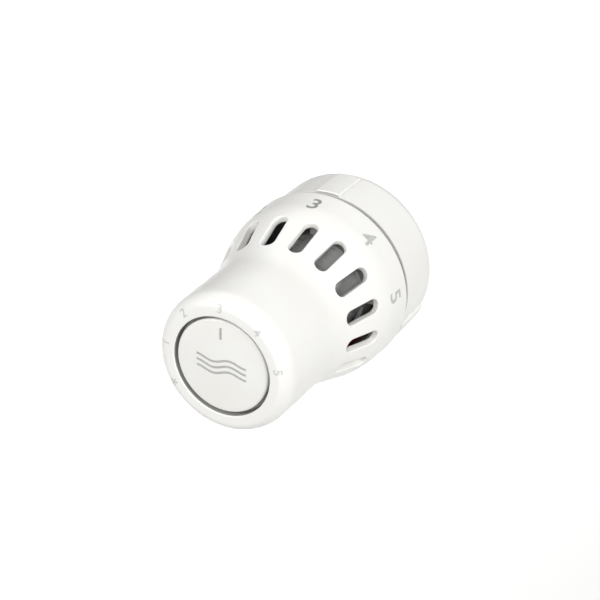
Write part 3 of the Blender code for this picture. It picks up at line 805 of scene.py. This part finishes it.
def inked(name, flat, surface, material, body):
    """A thin layer of ink: surface(x, y, height) says where a point of the flat mesh goes."""
    made = cut_fine(flat, 0.35 * MM)
    faces = list(made.faces)
    grown = bmesh.ops.extrude_face_region(made, geom=faces)
    top = {item for item in grown["geom"] if isinstance(item, bmesh.types.BMVert)}
    for vert in made.verts:
        vert.co = surface(vert.co.x, vert.co.y, INK_HEIGHT if vert in top else -INK_DEPTH)
    obj = to_object(name, made, smooth_angle=60.0)
    place(obj, material, body)
    return obj


def on_band(angle, depth):
    """Upright on the rear number band: +y towards the seam."""

    def surface(x, y, height):
        here = depth - y
        turn = angle + math.degrees(x / wheel_radius(here))
        radius, moved = wheel_section(here, -height)
        return at(radius, moved, turn)

    return surface


def nose_point(arc, height):
    """(radius, depth) at this arc length outwards from the nose's flat face edge, raised by height."""
    a = HANDLE_FRONT_RADIUS - NOSE_FACE_RADIUS
    b = LENGTH - NOSE_DEPTH
    if arc < 0:
        return NOSE_FACE_RADIUS + arc, LENGTH + height
    turn = math.pi / 2
    walked = 0.0
    step = math.radians(0.5)
    while walked < arc and turn > 0:
        walked += step * math.hypot(a * math.sin(turn), b * math.cos(turn))
        turn -= step
    normal = Vector((b * math.cos(turn), a * math.sin(turn))).normalized()
    return (
        NOSE_FACE_RADIUS + a * math.cos(turn) + normal.x * height,
        NOSE_DEPTH + b * math.sin(turn) + normal.y * height,
    )


def on_nose(angle, arc):
    """Upright on the rounded nose: +y outwards."""

    def surface(x, y, height):
        radius, depth = nose_point(arc + y, height)
        turn = angle + math.degrees(x / NOSE_FACE_RADIUS)
        return at(radius, depth, turn)

    return surface


def cap_depth(radius):
    """Depth of the domed cap face at this radius."""
    dome = 0.4 * MM
    share = min(radius / CAP_RADIUS, 1.0)
    return CAP_FRONT - dome * share * share


def on_cap(x, y, height):
    """On the cap, as seen from the front: x to the right, y up."""
    radius = math.hypot(x, y)
    return Vector((x, -cap_depth(radius) - height, y))


def scale_symbol(label, height):
    return frost_mesh(height) if label == "frost" else glyph_mesh(label, height)


def make_scale():
    # The band digits away from the pointer get a lighter copy of the same ink: painted light, where the light
    # washes them out.
    pointer_digit_ink = printed_ink("pointer_digit_ink", (0.25, 0.25, 0.25))
    painted_lit_ink = printed_ink("painted_lit_ink", (0.46, 0.46, 0.455))
    nose_ink = printed_ink("nose_ink", (0.53, 0.53, 0.52))
    band_depth = RIM_DEPTH + 5.9 * MM
    band_height = 5.1 * MM
    band_turn = 1.5
    nose_height = 2.3 * MM
    nose_arc = 0.4 * MM
    for index, label in enumerate(SCALE):
        angle = SCALE_STEP * (index - SCALE_AT_POINTER)
        band = scale_symbol(label, band_height)
        # Lighter ink away from the pointer: painted light.
        band_ink = pointer_digit_ink if index == SCALE_AT_POINTER else painted_lit_ink
        mark = on_band(angle + band_turn, band_depth)
        inked(f"band_mark_{label}", band, mark, band_ink, "wheel")
        nose = scale_symbol(label, nose_height)
        inked(f"nose_mark_{label}", nose, on_nose(angle, nose_arc), nose_ink, "wheel")


def ribbon(points, half_width):
    """A flat strip of constant width along (x, y) points, with square ends."""
    made = bmesh.new()
    sides = []
    for k, here in enumerate(points):
        before = points[max(k - 1, 0)]
        after = points[min(k + 1, len(points) - 1)]
        along = (Vector(after) - Vector(before)).normalized()
        side = Vector((-along.y, along.x)) * half_width
        sides.append((Vector(here) + side, Vector(here) - side))
    rows = [[made.verts.new((p.x, p.y, 0.0)) for p in pair] for pair in sides]
    for here, there in zip(rows, rows[1:]):
        made.faces.new((here[0], here[1], there[1], there[0]))
    return made


def make_cap_marks():
    """The index mark at the top of the cap, and a plain emblem of three warm-air waves."""
    mark_ink = printed_ink("mark_ink", (0.36, 0.36, 0.355))
    mark = ribbon([(0.0, 7.4 * MM), (0.0, 10.4 * MM)], 0.3 * MM)
    inked("index_mark", mark, on_cap, mark_ink, "base")
    emblem_ink = printed_ink("emblem_ink", (0.4, 0.395, 0.39))
    half_length = 6.8 * MM
    waves = []
    for row in (-1, 0, 1):
        points = []
        for x in span(-half_length, half_length, 48):
            swing = 0.55 * MM * math.sin(x / half_length * 1.5 * math.pi)
            points.append((x, row * 1.55 * MM + swing))
        waves.append(ribbon(points, 0.3 * MM))
    inked("cap_emblem", merged(waves), on_cap, emblem_ink, "base")


# ---------------------------------------------------------------------------------------------------
# Fixed pieces


def make_front_cap():
    hub_outer = 9.8 * MM
    hub_inner = 8.2 * MM
    rear = SHELF_FRONT + 0.4 * MM
    barb_front = 63.7 * MM
    barb_rear = 62.5 * MM
    barb_radius = 10.6 * MM
    outline = [(radius, cap_depth(radius)) for radius in span(0.0, CAP_RADIUS - 0.5 * MM, 10)]
    edge_depth = outline[-1][1]
    for k in range(1, 6):
        turn = math.pi / 2 * k / 5
        inwards = 0.5 * MM * (1 - math.sin(turn))
        backwards = 0.5 * MM * (1 - math.cos(turn))
        outline.append((CAP_RADIUS - inwards, edge_depth - backwards))
    outline += [
        (CAP_RADIUS, rear + 0.15 * MM),
        (CAP_RADIUS - 0.15 * MM, rear),
        (hub_outer, rear),
        (hub_outer, barb_front),
        (barb_radius, barb_front),
        (hub_outer, barb_rear),
        (hub_inner, barb_rear),
        (hub_inner, rear),
        (0.0, rear),
    ]
    cap = to_object("cap_disc", turned(outline), smooth_angle=50.0)
    weigh(cap)
    place(cap, LOOKS["cap_plastic"], "base", ["front_cap"])


def make_base_ring():
    neck = 22.3 * MM
    groove_rear = BASE_FRONT - 1.6 * MM
    web_hole = COLLAR_RADIUS + 0.3 * MM
    rear_rounding = 4.0 * MM
    rear_face_radius = 20.2 * MM
    corners = [
        (BASE_INNER, BASE_FRONT, 0.2 * MM),
        (neck, BASE_FRONT, 0.2 * MM),
        (neck, groove_rear, 0.25 * MM),
        (BASE_RADIUS, groove_rear, 0.4 * MM),
        (BASE_RADIUS, rear_rounding + 1.0 * MM),
    ]
    outline = rounded(corners, steps=6)
    for k in range(15):
        turn = math.pi / 2 * k / 14
        radius = rear_face_radius + (BASE_RADIUS - rear_face_radius) * math.cos(turn)
        outline.append((radius, rear_rounding * (1.0 - math.sin(turn))))
    outline += [(web_hole + 0.2 * MM, 0.0), (web_hole, 0.2 * MM), (web_hole, WEB), (BASE_INNER, WEB)]
    ring = to_object("base_ring_shell", turned(outline), smooth_angle=50.0)
    pocket = box_outline(web_hole + 1.4 * MM, 17.2 * MM, -1.0 * MM, 1.8 * MM)
    carve(ring, repeated(lambda: sector(pocket, -11.5, 11.5, steps=6), every(12)))
    for angle in PIN_ANGLES:
        for radius, rear, deep in ((1.7 * MM, -1.0 * MM, 1.4 * MM), (1.1 * MM, 0.5 * MM, 4.0 * MM)):
            bore = [(0.0, rear), (radius, rear), (radius, deep), (0.0, deep)]
            carve(ring, axial_rod(bore, PIN_CIRCLE, angle))
    ring.data.shade_smooth()
    ring.data.set_sharp_from_angle(angle=math.radians(35))
    soften(ring, 0.15 * MM)
    place(ring, LOOKS["white_plastic"], "base", ["base_ring"])
    # The seam groove behind the wheel's rim and the pads' front faces get a mid-grey material: painted shade
    # in the gap.
    seam_shade_look = moulded("seam_gap_painted_shade_look", (0.48, 0.48, 0.47), 0.7).material
    paint_gap_shade(ring, seam_shade_look, lambda radius, depth: depth > groove_rear - 0.2 * MM)
    pad_inner = BASE_INNER + 0.6 * MM
    pad_outer = BASE_RADIUS + 0.6 * MM
    pad_front = groove_rear - 0.1 * MM
    pad = rounded(
        [
            (pad_inner, rear_rounding, 0.0),
            (pad_outer, rear_rounding, 0.5 * MM),
            (pad_outer, pad_front, 0.4 * MM),
            (pad_inner, pad_front, 0.2 * MM),
        ]
    )
    for index, angle in enumerate(every(PADS)):
        shape = sector(pad, angle - PAD_HALF_ANGLE, angle + PAD_HALF_ANGLE)
        block = to_object(f"pointer_pad_{index + 1}", shape)
        soften(block, 0.35 * MM, segments=4)
        place(block, LOOKS["white_plastic"], "base")
        paint_gap_shade(block, seam_shade_look, lambda radius, depth: depth > pad_front - 0.05 * MM)


# ---------------------------------------------------------------------------------------------------
# Springs and bellows


def place_between(obj, slot, replaces=()):
    obj.data.materials.append(LOOKS[slot])
    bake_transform(obj)
    if replaces:
        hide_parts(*replaces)


def make_overtravel_spring():
    mean_radius = SPRING_HIGH.x - SPRING_WIRE
    rear = -SPRING_HIGH.y + SPRING_WIRE
    front = -SPRING_LOW.y - SPRING_WIRE
    steps = int(SPRING_TURNS * 40)
    points = []
    for k in range(steps + 1):
        share = k / steps
        points.append(at(mean_radius, rear + (front - rear) * share, 360.0 * SPRING_TURNS * share))
    spring = to_object("overtravel_coil", tube(points, SPRING_WIRE))
    place_between(spring, "spring_steel", ["overtravel_spring"])


def make_bellows():
    rear = -BELLOWS_HIGH.y
    front = -BELLOWS_LOW.y
    wall = 0.4 * MM
    half_wave = (BELLOWS_HIGH.x - BELLOWS_ROOT) / 2
    outer = []
    for depth in span(rear, front, BELLOWS_FOLDS * 12):
        wave = math.cos(math.tau * BELLOWS_FOLDS * (depth - rear) / (front - rear))
        outer.append((BELLOWS_ROOT + half_wave * (1.0 - wave), depth))
    inner = [(radius - wall, depth) for radius, depth in reversed(outer)]
    bellows = to_object("bellows_tube", turned(outer + inner, 96), smooth_angle=50.0)
    place_between(bellows, "bellows_brass", ["bellows"])


def make_clamp_spring():
    """Eight arcs of one ring: each reaches from a jaw, which pushes it outwards, to a point that stays."""
    circle = CLAMP_HIGH.x - CLAMP_WIRE
    depth = -(CLAMP_LOW.y + CLAMP_HIGH.y) / 2
    for index, jaw_angle in enumerate(JAW_ANGLES):
        for side in (-1, 1):
            fixed_angle = jaw_angle + side * 45.0
            if fixed_angle == 180.0:
                fixed_angle -= side * CLAMP_OPENING / 2
            points = [at(circle, depth, angle) for angle in span(jaw_angle, fixed_angle, 20)]
            arc = to_object(f"clamp_arc_{index + 1}{'ab'[side > 0]}", tube(points, CLAMP_WIRE))
            whole = ["clamp_spring"] if index == 0 and side < 0 else []
            place_between(arc, "spring_steel", whole)


def keep_cad_nodes():
    """The CAD nodes whose shape is right keep it, with softened edges and a finished material."""
    slots = {row["node"]: row["material_slot"] for row in frame["record"]["subparts"]}
    for name, obj in frame["nodes"].items():
        obj.data.materials.clear()
        obj.data.materials.append(LOOKS[slots[name]])
        obj.data.shade_smooth()
        soften(obj, 0.08 * MM, segments=2)


# ---------------------------------------------------------------------------------------------------
# Floor, light and camera

TARGET = Vector((1.9, -35.0, 1.7)) * MM
AZIMUTH = math.radians(28.4)
ELEVATION = math.radians(28.0)
DISTANCE = 0.4
LENS = 94.56
FLOOR_HEIGHT = -0.3


def view_direction():
    return Vector(
        (
            math.sin(AZIMUTH) * math.cos(ELEVATION),
            -math.cos(AZIMUTH) * math.cos(ELEVATION),
            math.sin(ELEVATION),
        )
    )


def make_floor():
    made = bmesh.new()
    bmesh.ops.create_grid(made, x_segments=8, y_segments=8, size=4.0)
    floor = to_object("floor", made)
    floor.location.z = FLOOR_HEIGHT
    floor.data.materials.append(paper_floor())


def add_area(name, place_at, aim, size, watts, spread):
    data = bpy.data.lights.new(name, "AREA")
    data.shape = "DISK"
    data.size = size
    data.energy = watts
    data.spread = math.radians(spread)
    light = bpy.data.objects.new(name, data)
    bpy.context.scene.collection.objects.link(light)
    light.location = place_at
    light.rotation_mode = "QUATERNION"
    light.rotation_quaternion = (Vector(aim) - Vector(place_at)).to_track_quat("-Z", "Y")


def make_lights():
    world = bpy.data.worlds.new("studio")
    world.use_nodes = True
    world.node_tree.nodes["Background"].inputs["Color"].default_value = (1.0, 0.998, 0.99, 1.0)
    world.node_tree.nodes["Background"].inputs["Strength"].default_value = 0.38
    bpy.context.scene.world = world
    add_area("key", (0.86, -0.2, 0.38), TARGET, 0.35, 0.62, spread=60.0)
    add_area("fill", (-0.5, -0.66, 0.5), TARGET, 0.35, 0.38, spread=60.0)
    add_area("front", (0.32, -0.85, 0.42), TARGET, 0.2, 0.44, spread=60.0)
    # These two shine straight down, on the background beside and behind the head.
    add_area("backdrop", (-0.46, 0.62, 0.5), (-0.46, 0.62, FLOOR_HEIGHT), 1.0, 3.3, spread=110.0)
    add_area("far", (-0.7, 1.3, 0.6), (-0.7, 1.3, FLOOR_HEIGHT), 1.4, 3.9, spread=90.0)


def make_camera():
    data = bpy.data.cameras.new("camera")
    data.sensor_width = 36.0
    data.lens = LENS
    data.clip_start = 0.01
    camera = bpy.data.objects.new("camera", data)
    bpy.context.scene.collection.objects.link(camera)
    camera.location = TARGET + view_direction() * DISTANCE
    camera.rotation_mode = "QUATERNION"
    camera.rotation_quaternion = (-view_direction()).to_track_quat("-Z", "Y")
    bpy.context.scene.camera = camera
    bpy.context.scene.view_settings.view_transform = "Standard"


make_camera()
make_floor()
make_lights()
keep_cad_nodes()
make_handwheel()
make_front_cap()
make_base_ring()
make_overtravel_spring()
make_bellows()
make_clamp_spring()
make_scale()
make_cap_marks()
